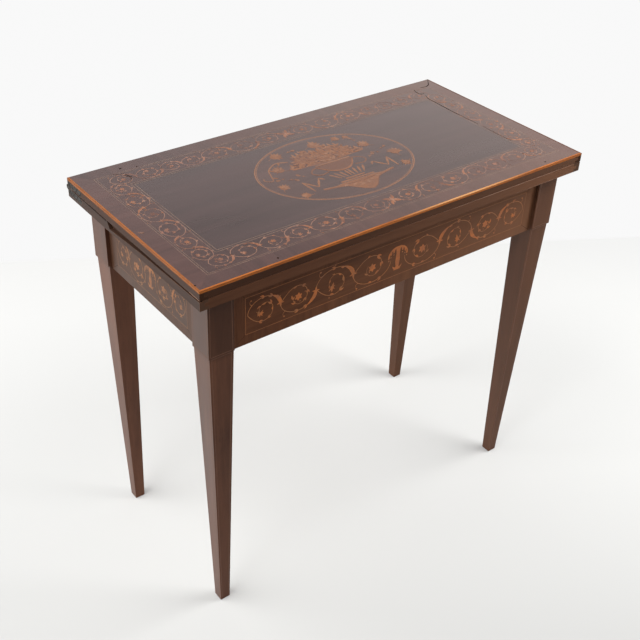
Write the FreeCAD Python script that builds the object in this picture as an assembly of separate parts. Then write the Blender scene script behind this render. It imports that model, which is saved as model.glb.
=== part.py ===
import FreeCAD
import Part
import math
import os

# Fold-over games table with a turning top, in millimetres.
# The origin is on the floor under the middle of the closed top, +Z is up and the front faces -Y.

# Top: two leaves of one outline, hinged along the back long edge
top_w = 840.0
top_d = 428.0
lower_leaf_t = 18.0
upper_leaf_t = 17.5
cleat_w = 16.0
tongue_l = 7.0
tongue_t = 6.0
arris_bevel = 0.8

# Veneer and edge stringing of the upper leaf
veneer_t = 0.9
border_w = 82.0
string_w = 3.5
string_h = 4.5

# Baize lining let into the two meeting faces
baize_margin = 62.0
baize_t = 1.0
baize_drop = 0.2

# Splinter lost along the upper arris of the lower leaf's left end
chip_in = 6.0
chip_back_y = 72.0
chip_slope = 8.0
chip_back_h = 12.0
chip_mid_y = -45.0
chip_mid_h = 5.5
chip_front_h = 1.6

# Legs: square block at the frame, a small step on the outward faces, then a straight taper
frame_h = 715.0
overhang_x = 27.0
overhang_y = 24.0
leg_w = 48.5
leg_block_h = 117.0
step_in = 2.5
foot_w = 20.0
foot_set_x = 19.0
foot_set_y = 14.0
foot_wear = 1.5

# Rails tenoned into the legs
rail_h = 121.0
rail_t = 20.0
rail_set = 7.5
tenon_l = 15.0
tenon_t = 10.0
tenon_h = 78.0
tenon_up = 26.0

# Turning top: board across the frame, bush, bolt, plate, washer, nut and stop peg
board_t = 22.0
board_edge = 8.0
board_housing = 10.0
bolt_r = 6.0
running_gap = 0.05
bush_wall = 4.0
plate_r = 34.0
plate_t = 3.0
washer_rim = 10.0
washer_t = 2.0
nut_wall = 4.5
nut_h = 8.0
bolt_tail = 4.0
peg_r = 5.5
peg_drop = 14.0
peg_seat = 9.0
peg_gap = 0.4
slot_wall = 6.0
slot_start = -135.0
turn_angle = 90.0

# Storage well in the left of the frame
partition_t = 12.0
ledge_w = 12.0
ledge_lift = 2.0
well_bottom_t = 8.0
leg_notch_gap = 0.5

# Hinges let into the ends of the leaves at the back corners
hinge_l = 52.0
hinge_t = 3.0
hinge_edge = 1.5
hinge_string_gap = 0.5
eye_r = 5.0
eye_gap = 0.3
pin_r = 1.5
hinge_screw_first = 14.0
hinge_screw_last = 10.0
hinge_screw_count = 3

# Countersunk wood screws of the hinges, the pivot plate and the pivot board
screw_r = 1.6
screw_head_r = 3.2
screw_head_h = 2.0
screw_slot = 0.8
hinge_screw_l = 13.0
plate_screw_l = 12.0
plate_screw_count = 4
board_screw_l = 40.0
board_screw_in = 22.0

# Places worked out from the sizes above
half_w = top_w / 2
half_d = top_d / 2
meet_z = frame_h + lower_leaf_t
top_z = meet_z + upper_leaf_t
core_top_z = top_z - veneer_t
leg_x = half_w - overhang_x
leg_y = half_d - overhang_y
rail_x = leg_x - rail_set
rail_y = leg_y - rail_set
inner_x = rail_x - rail_t
inner_y = rail_y - rail_t
rail_z = frame_h - rail_h
step_z = frame_h - leg_block_h
hinge_w = upper_leaf_t - string_h - hinge_edge - hinge_string_gap
hinge_screw_pitch = (hinge_l - hinge_screw_first - hinge_screw_last) / (hinge_screw_count - 1)

# The pivot lies where a quarter turn brings the opened top to the middle of the frame
pivot_x = top_d / 4
pivot_y = top_d / 4
slot_r = plate_r + slot_wall + peg_r
board_w = 2 * (slot_r + peg_r + peg_gap + board_edge)
board_x0 = pivot_x - board_w / 2
board_z = frame_h - board_t
washer_z = board_z - washer_t
nut_z = washer_z - nut_h
partition_x0 = board_x0 - partition_t
ledge_z = rail_z + ledge_lift
well_floor_z = ledge_z + ledge_w + well_bottom_t

nodes = {}


def vec(x, y, z):
    return FreeCAD.Vector(x, y, z)


def box(x0, x1, y0, y1, z0, z1):
    return Part.makeBox(x1 - x0, y1 - y0, z1 - z0, vec(x0, y0, z0))


def face_of(points):
    return Part.Face(Part.makePolygon([vec(*p) for p in points + points[:1]]))


def plate_xy(points, z0, z1):
    """A flat piece with this outline in plan."""
    return face_of([(x, y, z0) for x, y in points]).extrude(vec(0, 0, z1 - z0))


def prism_x(points, x0, x1):
    """A bar along X with this outline of (y, z) points."""
    return face_of([(x0, y, z) for y, z in points]).extrude(vec(x1 - x0, 0, 0))


def prism_y(points, y0, y1):
    """A bar along Y with this outline of (x, z) points."""
    return face_of([(x, y0, z) for x, z in points]).extrude(vec(0, y1 - y0, 0))


def rod(radius, start, along, length):
    return Part.makeCylinder(radius, length, start, along)


def cut(shape, tools):
    for tool in tools:
        shape = shape.cut(tool)
    return shape


def fuse(shapes):
    whole = shapes[0]
    for shape in shapes[1:]:
        whole = whole.fuse(shape)
    return whole.removeSplitter()


def flip_x(shape):
    return shape.mirror(vec(0, 0, 0), vec(1, 0, 0))


def flip_y(shape):
    return shape.mirror(vec(0, 0, 0), vec(0, 1, 0))


def square_wire(x, y, half, z):
    corners = [(x - half, y - half), (x + half, y - half), (x + half, y + half), (x - half, y + half)]
    return Part.makePolygon([vec(cx, cy, z) for cx, cy in corners + corners[:1]])


def screw_blank(head, along, length):
    """A countersunk screw with no slot: the shape of its hole too."""
    cone = Part.makeCone(screw_head_r, screw_r, screw_head_h, head, along)
    return fuse([cone, rod(screw_r, head, along, length)])


def screw(head, along, length):
    """A countersunk screw with a straight slot across its head."""
    slot = Part.makeBox(2 * screw_head_r, screw_slot, 2 * screw_slot)
    slot.translate(vec(-screw_head_r, -screw_slot / 2, -screw_slot))
    slot.Placement = FreeCAD.Placement(head, FreeCAD.Rotation(vec(0, 0, 1), along)).multiply(slot.Placement)
    return screw_blank(head, along, length).cut(slot)


# Rails, with a stub tenon on each end
def rail_along_x(outer_y):
    inner = outer_y + rail_t
    tenon_y = (outer_y + inner - tenon_t) / 2
    tenon_z = rail_z + tenon_up
    reach = leg_x - leg_w
    bar = box(-reach, reach, outer_y, inner, rail_z, frame_h)
    tenon_reach = reach + tenon_l
    tenon = box(-tenon_reach, tenon_reach, tenon_y, tenon_y + tenon_t, tenon_z, tenon_z + tenon_h)
    return fuse([bar, tenon])


def rail_along_y(outer_x):
    inner = outer_x + rail_t
    tenon_x = (outer_x + inner - tenon_t) / 2
    tenon_z = rail_z + tenon_up
    reach = leg_y - leg_w
    bar = box(outer_x, inner, -reach, reach, rail_z, frame_h)
    tenon_reach = reach + tenon_l
    tenon = box(tenon_x, tenon_x + tenon_t, -tenon_reach, tenon_reach, tenon_z, tenon_z + tenon_h)
    return fuse([bar, tenon])


front_rail = rail_along_x(-rail_y)
left_rail = rail_along_y(-rail_x)
rails = {
    "front_rail": front_rail,
    "back_rail": flip_y(front_rail),
    "left_rail": left_rail,
    "right_rail": flip_x(left_rail),
}

# Legs, with a mortise for each tenon
shaft_w = leg_w - step_in
shaft_mid_x = leg_x - step_in - shaft_w / 2
shaft_mid_y = leg_y - step_in - shaft_w / 2
foot_mid_x = leg_x - foot_set_x - foot_w / 2
foot_mid_y = leg_y - foot_set_y - foot_w / 2
leg_block = box(-leg_x, leg_w - leg_x, -leg_y, leg_w - leg_y, step_z, frame_h)
leg_shaft = Part.makeLoft(
    [
        square_wire(-shaft_mid_x, -shaft_mid_y, shaft_w / 2, step_z),
        square_wire(-foot_mid_x, -foot_mid_y, foot_w / 2, foot_wear),
        square_wire(-foot_mid_x, -foot_mid_y, foot_w / 2 - foot_wear, 0),
    ],
    True,
    True,
)
leg = fuse([leg_block, leg_shaft])
leg = cut(leg, [front_rail, left_rail])
nodes["leg_front_left"] = leg
nodes["leg_front_right"] = flip_x(leg)
nodes["leg_back_left"] = flip_y(leg)
nodes["leg_back_right"] = flip_x(flip_y(leg))

# Board across the frame that carries the pivot, with a quarter-circle slot for the stop peg
pivot = vec(pivot_x, pivot_y, 0)
up = vec(0, 0, 1)
down = vec(0, 0, -1)
board_y = inner_y + board_housing
pivot_board = box(board_x0, board_x0 + board_w, -board_y, board_y, board_z, frame_h)
housing = pivot_board.copy()


def around_pivot(radius, angle, z):
    turn = math.radians(angle)
    return vec(pivot_x + radius * math.cos(turn), pivot_y + radius * math.sin(turn), z)


def arc_slot():
    """The path of the stop peg over its whole turn, with a little room all round."""
    half = peg_r + peg_gap
    ring = rod(slot_r + half, pivot + vec(0, 0, board_z), up, board_t)
    ring = ring.cut(rod(slot_r - half, pivot + vec(0, 0, board_z), up, board_t))
    far = 2 * (slot_r + half)
    middle = slot_start + turn_angle / 2
    wedge_points = [around_pivot(0, 0, board_z)]
    for angle in (slot_start, middle, slot_start + turn_angle):
        wedge_points.append(around_pivot(far, angle, board_z))
    wedge = Part.Face(Part.makePolygon(wedge_points + wedge_points[:1])).extrude(vec(0, 0, board_t))
    ends = [rod(half, around_pivot(slot_r, a, board_z), up, board_t) for a in (slot_start, slot_start + turn_angle)]
    return fuse([ring.common(wedge)] + ends)


bush_r = bolt_r + running_gap + bush_wall
bush_hole = rod(bush_r, pivot + vec(0, 0, board_z), up, board_t)
board_screw_places = [
    vec(x, side * (inner_y + board_housing / 2), frame_h)
    for x in (board_x0 + board_screw_in, board_x0 + board_w - board_screw_in)
    for side in (-1, 1)
]
board_screw_holes = [screw_blank(p, down, board_screw_l) for p in board_screw_places]
nodes["pivot_board"] = cut(pivot_board, [arc_slot(), bush_hole] + board_screw_holes)
nodes["pivot_board_screws"] = Part.makeCompound([screw(p, down, board_screw_l) for p in board_screw_places])
nodes["pivot_bush"] = bush_hole.cut(rod(bolt_r + running_gap, pivot + vec(0, 0, board_z), up, board_t))
for name, rail in rails.items():
    nodes[name] = cut(rail, [housing] + board_screw_holes)

# Storage well: partition, ledges round the inside of the rails and a bottom board on them
partition = box(partition_x0, board_x0, -inner_y, inner_y, ledge_z, frame_h)
nodes["well_partition"] = partition
leg_inner_x = leg_x - leg_w
leg_inner_y = leg_y - leg_w
ledge_top = ledge_z + ledge_w
ledge_front = box(-leg_inner_x, partition_x0, -inner_y, ledge_w - inner_y, ledge_z, ledge_top)
ledge_left = box(-inner_x, ledge_w - inner_x, -leg_inner_y, leg_inner_y, ledge_z, ledge_top)
ledge_right = box(partition_x0 - ledge_w, partition_x0, ledge_w - inner_y, inner_y - ledge_w, ledge_z, ledge_top)
nodes["well_ledges"] = Part.makeCompound([ledge_front, flip_y(ledge_front), ledge_left, ledge_right])
well_bottom = box(-inner_x, partition_x0, -inner_y, inner_y, ledge_top, well_floor_z)
notch_x = leg_inner_x - leg_notch_gap
notch_y = leg_inner_y - leg_notch_gap
leg_notch = box(-leg_x, -notch_x, -leg_y, -notch_y, ledge_top, well_floor_z)
nodes["well_bottom"] = cut(well_bottom, [leg_notch, flip_y(leg_notch)])


# Hinges: one bar in each leaf's end, with half-lapped eyes round a common pin
def hinge_disc(radius, x0, x1):
    return rod(radius, vec(x0, half_d, meet_z), vec(1, 0, 0), x1 - x0)


hinge_x0 = -half_w
hinge_lap = -half_w + hinge_t / 2
hinge_x1 = -half_w + hinge_t
round_end = hinge_w / 2


def hinge_bar(side):
    """The flat bar with its rounded far end; side is -1 in the lower leaf and 1 in the upper leaf."""
    near = meet_z + side * hinge_edge
    far = meet_z + side * (hinge_edge + hinge_w)
    low, high = sorted((near, far))
    tail_y = half_d - hinge_l + round_end
    bar = box(hinge_x0, hinge_x1, tail_y, half_d - hinge_edge, low, high)
    tail = rod(round_end, vec(hinge_x0, tail_y, (low + high) / 2), vec(1, 0, 0), hinge_t)
    return fuse([bar, tail])


def hinge_screw_heads(side):
    z = meet_z + side * (hinge_edge + hinge_w / 2)
    places = []
    for i in range(hinge_screw_count):
        places.append(vec(hinge_x0, half_d - hinge_screw_first - i * hinge_screw_pitch, z))
    return places


def hinge_parts(side):
    """The plate, its screws, and the room that they need in the end of the leaf."""
    own, other = ((hinge_x0, hinge_lap), (hinge_lap, hinge_x1))[::-side]
    bar = hinge_bar(side)
    inward = vec(1, 0, 0)
    blanks = [screw_blank(p, inward, hinge_screw_l) for p in hinge_screw_heads(side)]
    plate = fuse([bar.cut(hinge_disc(eye_r + eye_gap, *other)), hinge_disc(eye_r, *own)])
    pin_hole = pin_r if side < 0 else pin_r + running_gap
    plate = cut(plate, blanks + [hinge_disc(pin_hole, hinge_x0, hinge_x1)])
    screws = [screw(p, inward, hinge_screw_l) for p in hinge_screw_heads(side)]
    room = [bar, hinge_disc(eye_r + eye_gap, hinge_x0, hinge_x1)] + blanks
    return plate, screws, room


hinge_pin = hinge_disc(pin_r, hinge_x0, hinge_x1)
hinge_room = {}
for leaf, side in (("lower", -1), ("upper", 1)):
    plate, screws, room = hinge_parts(side)
    nodes[leaf + "_hinge_left"] = plate
    nodes[leaf + "_hinge_right"] = flip_x(plate)
    nodes[leaf + "_hinge_screws"] = Part.makeCompound(screws + [flip_x(s) for s in screws])
    hinge_room[leaf] = room + [flip_x(r) for r in room]
nodes["hinge_pin_left"] = hinge_pin
nodes["hinge_pin_right"] = flip_x(hinge_pin)


# Leaves: a panel tongued into a cleat at each end, with a bevel along the meeting arrises
def meeting_bevels(side):
    """Wedges cut from the front and end arrises where the leaves meet."""
    far_z = meet_z + side * arris_bevel
    front = prism_x([(-half_d, meet_z), (arris_bevel - half_d, meet_z), (-half_d, far_z)], -half_w, half_w)
    left = prism_y([(-half_w, meet_z), (arris_bevel - half_w, meet_z), (-half_w, far_z)], -half_d, half_d)
    return [front, left, flip_x(left)]


def leaf_panel(z0, z1):
    reach = half_w - cleat_w
    middle = (z0 + z1) / 2
    panel = box(-reach, reach, -half_d, half_d, z0, z1)
    tongue_reach = reach + tongue_l
    tongue = box(-tongue_reach, tongue_reach, -half_d, half_d, middle - tongue_t / 2, middle + tongue_t / 2)
    return fuse([panel, tongue])


def leaf_cleat(z0, z1):
    return box(-half_w, cleat_w - half_w, -half_d, half_d, z0, z1)


baize_x = half_w - baize_margin
baize_y = half_d - baize_margin
baize_sink = baize_t + baize_drop


def baize_recess(side):
    low, high = sorted((meet_z, meet_z + side * baize_sink))
    return box(-baize_x, baize_x, -baize_y, baize_y, low, high)


def baize_lining(side):
    low, high = sorted((meet_z + side * baize_drop, meet_z + side * baize_sink))
    return box(-baize_x, baize_x, -baize_y, baize_y, low, high)


chip = prism_x(
    [
        (chip_back_y, meet_z),
        (chip_back_y - chip_slope, meet_z - chip_back_h),
        (chip_mid_y, meet_z - chip_mid_h),
        (-half_d, meet_z - chip_front_h),
        (-half_d, meet_z),
    ],
    -half_w,
    chip_in - half_w,
)

# Pivot plate let into the underside of the lower leaf, with its screws, bolt and stop peg
leaf_under = pivot + vec(0, 0, frame_h)
plate_blank = rod(plate_r, leaf_under, up, plate_t)
plate_screw_ring = (bolt_r + plate_r) / 2
plate_screw_places = []
for i in range(plate_screw_count):
    place = around_pivot(plate_screw_ring, (i + 0.5) * 360.0 / plate_screw_count, frame_h)
    plate_screw_places.append(place)
plate_screw_holes = [screw_blank(p, up, plate_screw_l) for p in plate_screw_places]
bolt_z = nut_z - bolt_tail
bolt = rod(bolt_r, pivot + vec(0, 0, bolt_z), up, frame_h + plate_t - bolt_z)
peg = rod(peg_r, around_pivot(slot_r, slot_start, frame_h - peg_drop), up, peg_drop + peg_seat)
nodes["pivot_plate"] = cut(plate_blank, [bolt] + plate_screw_holes)
nodes["pivot_plate_screws"] = Part.makeCompound([screw(p, up, plate_screw_l) for p in plate_screw_places])
nodes["pivot_bolt"] = bolt
nodes["stop_peg"] = peg
washer = rod(bolt_r + washer_rim, pivot + vec(0, 0, washer_z), up, washer_t)
nodes["pivot_washer"] = washer.cut(bolt)
nut_half = bolt_r + nut_wall
nut = box(pivot_x - nut_half, pivot_x + nut_half, pivot_y - nut_half, pivot_y + nut_half, nut_z, washer_z)
nodes["pivot_nut"] = nut.cut(bolt)

# Lower leaf
lower_panel = leaf_panel(frame_h, meet_z)
lower_cleat = leaf_cleat(frame_h, meet_z).cut(lower_panel)
lower_cuts = meeting_bevels(-1) + hinge_room["lower"]
under_cuts = [plate_blank, peg] + plate_screw_holes
nodes["lower_leaf_panel"] = cut(lower_panel, lower_cuts + under_cuts + [baize_recess(-1)])
nodes["lower_leaf_left_cleat"] = cut(lower_cleat, lower_cuts + [chip])
nodes["lower_leaf_right_cleat"] = cut(flip_x(lower_cleat), lower_cuts)
nodes["lower_baize"] = baize_lining(-1)

# Stringing let into the upper arrises of the upper leaf, mitred at the front corners
string_x = half_w - string_w
string_y = half_d - string_w
string_z = top_z - string_h
front_string_points = [(-half_w, -half_d), (half_w, -half_d), (string_x, -string_y), (-string_x, -string_y)]
left_string_points = [(-half_w, -half_d), (-string_x, -string_y), (-string_x, half_d), (-half_w, half_d)]
front_string = plate_xy(front_string_points, string_z, top_z)
left_string = plate_xy(left_string_points, string_z, top_z)
nodes["front_stringing"] = front_string
nodes["left_stringing"] = left_string
nodes["right_stringing"] = flip_x(left_string)

# Upper leaf
upper_panel = leaf_panel(meet_z, core_top_z)
upper_cleat = leaf_cleat(meet_z, core_top_z).cut(upper_panel)
strings = [front_string, left_string, flip_x(left_string)]
upper_cuts = meeting_bevels(1) + hinge_room["upper"] + strings
nodes["upper_leaf_panel"] = cut(upper_panel, upper_cuts + [baize_recess(1)])
nodes["upper_leaf_left_cleat"] = cut(upper_cleat, upper_cuts)
nodes["upper_leaf_right_cleat"] = cut(flip_x(upper_cleat), upper_cuts)
nodes["upper_baize"] = baize_lining(1)

# Veneer on the upper leaf: a middle field and four mitred borders
field_x = half_w - border_w
field_y = half_d - border_w
front_border = [(-string_x, -string_y), (string_x, -string_y), (field_x, -field_y), (-field_x, -field_y)]
back_border = [(-string_x, half_d), (-field_x, field_y), (field_x, field_y), (string_x, half_d)]
left_border = [(-string_x, -string_y), (-field_x, -field_y), (-field_x, field_y), (-string_x, half_d)]
left_border_sheet = plate_xy(left_border, core_top_z, top_z)
nodes["field_veneer"] = box(-field_x, field_x, -field_y, field_y, core_top_z, top_z)
nodes["front_border_veneer"] = plate_xy(front_border, core_top_z, top_z)
nodes["back_border_veneer"] = plate_xy(back_border, core_top_z, top_z)
nodes["left_border_veneer"] = left_border_sheet
nodes["right_border_veneer"] = flip_x(left_border_sheet)

os.makedirs("parts", exist_ok=True)
for name, shape in nodes.items():
    if not shape.isValid():
        print("not valid:", name)
    shape.exportStep("parts/" + name + ".step")
print(len(nodes), "pieces written")
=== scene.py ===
import cmath
import random
from collections import namedtuple
from math import cos, exp, pi, radians, sin

import bpy
from mathutils import Matrix, Vector


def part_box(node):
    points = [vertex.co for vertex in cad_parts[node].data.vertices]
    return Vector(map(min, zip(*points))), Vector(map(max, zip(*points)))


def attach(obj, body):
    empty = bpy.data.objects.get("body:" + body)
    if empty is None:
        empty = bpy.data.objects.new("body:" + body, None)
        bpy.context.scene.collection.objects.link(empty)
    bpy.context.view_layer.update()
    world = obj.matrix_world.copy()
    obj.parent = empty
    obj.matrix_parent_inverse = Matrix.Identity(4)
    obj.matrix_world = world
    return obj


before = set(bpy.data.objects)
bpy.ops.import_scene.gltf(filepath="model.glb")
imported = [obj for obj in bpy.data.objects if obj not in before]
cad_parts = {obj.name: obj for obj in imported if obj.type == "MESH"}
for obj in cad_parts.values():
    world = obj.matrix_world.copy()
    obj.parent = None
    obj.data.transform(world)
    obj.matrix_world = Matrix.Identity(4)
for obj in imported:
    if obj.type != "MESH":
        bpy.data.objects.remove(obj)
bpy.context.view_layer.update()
scene = bpy.context.scene
MM = 0.001

# Camera of the photograph, fitted to the table's corners for an image of 640 by 640
image_px = 640
focal_px = 1001.2
sensor_mm = 36.0
camera_place = Vector((-1.0396, -1.2590, 1.5577))
camera_azimuth = radians(-39.018)
camera_elevation = radians(35.149)
camera_roll = radians(2.734)

# Places read from the frame, in metres
field_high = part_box("field_veneer")[1]
string_low, string_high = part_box("front_stringing")
rail_low, rail_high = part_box("front_rail")
end_rail_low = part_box("left_rail")[0]
leg_low, leg_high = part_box("leg_front_right")
meet_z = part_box("upper_leaf_panel")[0].z
under_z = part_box("lower_leaf_panel")[0].z
half_w = string_high.x
half_d = -string_low.y
top_z = field_high.z

# Colours as linear values; each wood has a dark and a light one
border_wood = ((0.031, 0.013, 0.0113), (0.059, 0.026, 0.0218))
end_border_wood = ((0.036, 0.0148, 0.0125), (0.066, 0.029, 0.024))
band_wood = ((0.029, 0.013, 0.0115), (0.053, 0.025, 0.0216))
field_wood = ((0.03, 0.0168, 0.0152), (0.046, 0.0248, 0.0232))
oval_wood = ((0.034, 0.016, 0.013), (0.062, 0.03, 0.025))
rail_wood = ((0.043, 0.015, 0.007), (0.11, 0.041, 0.018))
end_rail_wood = ((0.026, 0.0106, 0.0055), (0.068, 0.0292, 0.0145))
leg_wood = ((0.04, 0.0145, 0.0075), (0.085, 0.033, 0.017))
leaf_wood = ((0.019, 0.0074, 0.0039), (0.046, 0.0186, 0.0096))
lower_leaf_wood = ((0.035, 0.0135, 0.007), (0.083, 0.0335, 0.0165))
cleat_wood = ((0.018, 0.0088, 0.0056), (0.042, 0.0205, 0.013))
softwood = ((0.27, 0.15, 0.07), (0.42, 0.27, 0.14))
cross_softwood = ((0.25, 0.14, 0.065), (0.4, 0.25, 0.13))
left_string_wood = ((0.165, 0.052, 0.013), (0.27, 0.09, 0.022))
right_string_wood = ((0.05, 0.02, 0.012), (0.085, 0.034, 0.02))
front_string_wood = ((0.2, 0.054, 0.007), (0.34, 0.098, 0.012))
string_line = (0.13, 0.034, 0.01)
# Colour of the painted highlight on the front stringing
string_glint = (0.44, 0.21, 0.08)
upper_cleat_end = (0.034, 0.0138, 0.007)
lower_cleat_end = (0.07, 0.036, 0.022)
worn_edge = (0.13, 0.056, 0.028)
# Painted light: the lighter colour that wood turns towards at its right end
right_light_colour = (0.17, 0.078, 0.041)
baize_dark = (0.012, 0.06, 0.03)
baize_light = (0.03, 0.115, 0.06)
baize_worn = (0.06, 0.12, 0.065)
oval_worn = (0.09, 0.042, 0.03)
top_cast = (0.18, 0.088, 0.064)
rail_dark, rail_light = rail_wood
border_light = border_wood[1]

# Metals: clean, dull and rubbed bright
hinge_metal = ((0.026, 0.02, 0.015), (0.015, 0.011, 0.009), (0.11, 0.095, 0.075))
brass = ((0.55, 0.38, 0.16), (0.25, 0.17, 0.08), (0.7, 0.52, 0.26))
iron = ((0.1, 0.095, 0.09), (0.03, 0.028, 0.026), (0.22, 0.21, 0.2))

# Inlaid woods: red, orange and pale
top_tones = ((0.165, 0.058, 0.026), (0.225, 0.083, 0.035), (0.24, 0.14, 0.1))
oval_tones = ((0.075, 0.034, 0.026), (0.178, 0.068, 0.028), (0.205, 0.098, 0.054))
rail_tones = ((0.3, 0.072, 0.008), (0.42, 0.108, 0.008), (0.28, 0.1, 0.022))
end_rail_tones = ((0.19, 0.06, 0.02), (0.27, 0.1, 0.028), (0.2, 0.094, 0.04))
leg_tones = ((0.1, 0.036, 0.014), (0.13, 0.048, 0.018), (0.15, 0.06, 0.025))
line_tones = ((0.12, 0.07, 0.045), (0.17, 0.105, 0.07), (0.2, 0.13, 0.095))
dark_tones = ((0.01, 0.006, 0.004), (0.01, 0.006, 0.004), (0.03, 0.016, 0.01))
# Tones of the pale marks: a real scratch and painted highlights
pale_mark_tones = ((0.2, 0.1, 0.06), (0.26, 0.14, 0.09), (0.32, 0.2, 0.14))


# Shader helpers

def new_material(name, roughness, specular):
    """A new material, its node tree and its principled shader."""
    material = bpy.data.materials.new(name)
    material.use_nodes = True
    tree = material.node_tree
    shader = next(n for n in tree.nodes if n.type == "BSDF_PRINCIPLED")
    shader.inputs["Roughness"].default_value = roughness
    shader.inputs["Specular IOR Level"].default_value = specular
    return material, tree, shader


def add(tree, kind, inputs=None, **settings):
    """One node, with its inputs set or linked by name or number."""
    node = tree.nodes.new("ShaderNode" + kind)
    for key, value in settings.items():
        setattr(node, key, value)
    for key, value in (inputs or {}).items():
        socket = node.inputs[key]
        if isinstance(value, bpy.types.NodeSocket):
            tree.links.new(value, socket)
        else:
            socket.default_value = value
    return node


def maths(tree, operation, a, b=0.0):
    return add(tree, "Math", {0: a, 1: b}, operation=operation).outputs[0]


def dot(tree, a, b):
    return add(tree, "VectorMath", {0: a, 1: b}, operation="DOT_PRODUCT").outputs["Value"]


def shaded(colour, factor):
    return [c * factor for c in colour]


def mix(tree, factor, a, b):
    a, b = (c if isinstance(c, bpy.types.NodeSocket) else (*c, 1.0) for c in (a, b))
    return add(tree, "Mix", {0: factor, 6: a, 7: b}, data_type="RGBA").outputs[2]


def remap(tree, value, low, high, to_low=0.0, to_high=1.0):
    sockets = {"Value": value, "From Min": low, "From Max": high, "To Min": to_low, "To Max": to_high}
    return add(tree, "MapRange", sockets).outputs[0]


def overlay(tree, colour, other, value, low, high, share=1.0):
    """A colour that turns to another as a value rises from low to high."""
    return mix(tree, remap(tree, value, low, high, 0.0, share), colour, other)


def noise(tree, vector, scale, detail=4.0, roughness=0.55, distortion=0.0):
    sockets = {"Vector": vector, "Scale": scale, "Detail": detail, "Roughness": roughness}
    return add(tree, "TexNoise", {**sockets, "Distortion": distortion}).outputs[0]


def object_place(tree):
    return add(tree, "TexCoord").outputs["Object"]


def coordinate(tree, axis):
    return add(tree, "SeparateXYZ", {0: object_place(tree)}).outputs[axis]


def facing(tree, axis):
    """1 on faces that look along an axis, 0 on faces beside it."""
    normal = add(tree, "NewGeometry").outputs["True Normal"]
    return maths(tree, "ABSOLUTE", add(tree, "SeparateXYZ", {0: normal}).outputs[axis])


def along_grain(tree, axis, stretch, offset=0.0):
    """Places squeezed along an axis, so that noise runs as grain."""
    scale = [1.0, 1.0, 1.0]
    scale["XYZ".index(axis)] = 1.0 / stretch
    shift = (offset, offset * 0.7, offset * 1.3)
    return add(tree, "Mapping", {"Vector": object_place(tree), "Scale": scale, "Location": shift}).outputs[0]


def edge_wear(tree, radius):
    """1 along sharp edges and 0 on flat faces."""
    rounded = add(tree, "Bevel", {"Radius": radius}, samples=4).outputs[0]
    same = dot(tree, rounded, add(tree, "NewGeometry").outputs["Normal"])
    return remap(tree, same, 0.99, 0.8)


def dress(tree, shader, colour, height, strength, distance):
    """Gives a shader its colour and fine bumps."""
    tree.links.new(colour, shader.inputs["Base Color"])
    bump = add(tree, "Bump", {"Height": height, "Strength": strength, "Distance": distance})
    tree.links.new(bump.outputs[0], shader.inputs["Normal"])


# Wood: how far its marks are drawn out along the grain, and their scales
streak_stretch = 14.0
fibre_stretch = 40.0
fibre_scale = 9.0
fibre_share = 0.35
pore_stretch = 24.0
pore_scale = 22.0
patch_stretch = 2.5
patch_scale = 7.0
patch_share = 0.5
scuff_scale = 90.0
arris_radius = 0.0016
bump_depth = 0.0004
deep_shade = 0.3

# Spans of x where painted light on the wood grows towards the right, and of z where painted shade on the
# block of a leg begins
right_light_span = (-0.25, 0.38)
block_span = (0.585, 0.605)


def grain_colour(tree, dark, light, broad, fine, pore_mask, patches):
    colour = overlay(tree, dark, light, broad, 0.3, 0.7)
    colour = overlay(tree, colour, dark, fine, 0.42, 0.7, fibre_share)
    colour = mix(tree, pore_mask, colour, shaded(dark, 0.35))
    return overlay(tree, colour, shaded(light, 1.25), patches, 0.35, 0.7, patch_share)


def painted_light_and_shade(tree, colour, dark, right_light_share, block_painted_shade):
    """Painted light that grows towards the right end, and painted shade on the block of a leg under the top.
    """
    # Painted light, stronger towards the right end
    if right_light_share:
        colour = overlay(tree, colour, right_light_colour, coordinate(tree, "X"), *right_light_span, right_light_share)
    # Painted shade on the block of a leg, under the top
    if block_painted_shade:
        deep = shaded(dark, deep_shade)
        colour = overlay(tree, colour, deep, coordinate(tree, "Z"), *block_span, block_painted_shade)
    return colour


def worn_arrises(tree, colour, worn, axis, offset):
    scuff = noise(tree, along_grain(tree, axis, 1.0, offset), scuff_scale)
    wear = maths(tree, "MULTIPLY", edge_wear(tree, arris_radius), remap(tree, scuff, 0.4, 0.62))
    return mix(tree, wear, colour, worn)


def wood(name, colours, axis, roughness=0.42, specular=0.3, streak=55.0, offset=0.0, right_light_share=0.0, worn=None,
         end_grain=0.25, end_colour=None, relief=0.12, pore_depth=0.55, block_painted_shade=0.0, front_share=0.12):
    """Polished wood with its grain along an axis."""
    dark, light = colours
    material, tree, shader = new_material(name, roughness, specular)
    polish = remap(tree, facing(tree, "Y"), 0.3, 0.9, specular, specular * front_share)
    tree.links.new(polish, shader.inputs["Specular IOR Level"])
    broad = noise(tree, along_grain(tree, axis, streak_stretch, offset), streak, 5.0, 0.6, distortion=0.6)
    fine = noise(tree, along_grain(tree, axis, fibre_stretch, offset), streak * fibre_scale, 3.0, 0.6)
    pores = noise(tree, along_grain(tree, axis, pore_stretch, offset + 3.0), streak * pore_scale, 2.0, 0.5)
    patches = noise(tree, along_grain(tree, axis, patch_stretch, offset + 7.0), patch_scale, 3.0)
    pore_mask = remap(tree, pores, 0.62, 0.7, 0.0, pore_depth)
    colour = grain_colour(tree, dark, light, broad, fine, pore_mask, patches)
    colour = painted_light_and_shade(tree, colour, dark, right_light_share, block_painted_shade)
    end_colour = end_colour or shaded(dark, deep_shade)
    colour = overlay(tree, colour, end_colour, facing(tree, axis), 0.8, 0.95, end_grain)
    if worn:
        colour = worn_arrises(tree, colour, worn, axis, offset)
    uneven = remap(tree, patches, 0.3, 0.75, roughness * 0.85, roughness * 1.25)
    tree.links.new(uneven, shader.inputs["Roughness"])
    dress(tree, shader, colour, maths(tree, "SUBTRACT", fine, pore_mask), relief, bump_depth)
    return material


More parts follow.
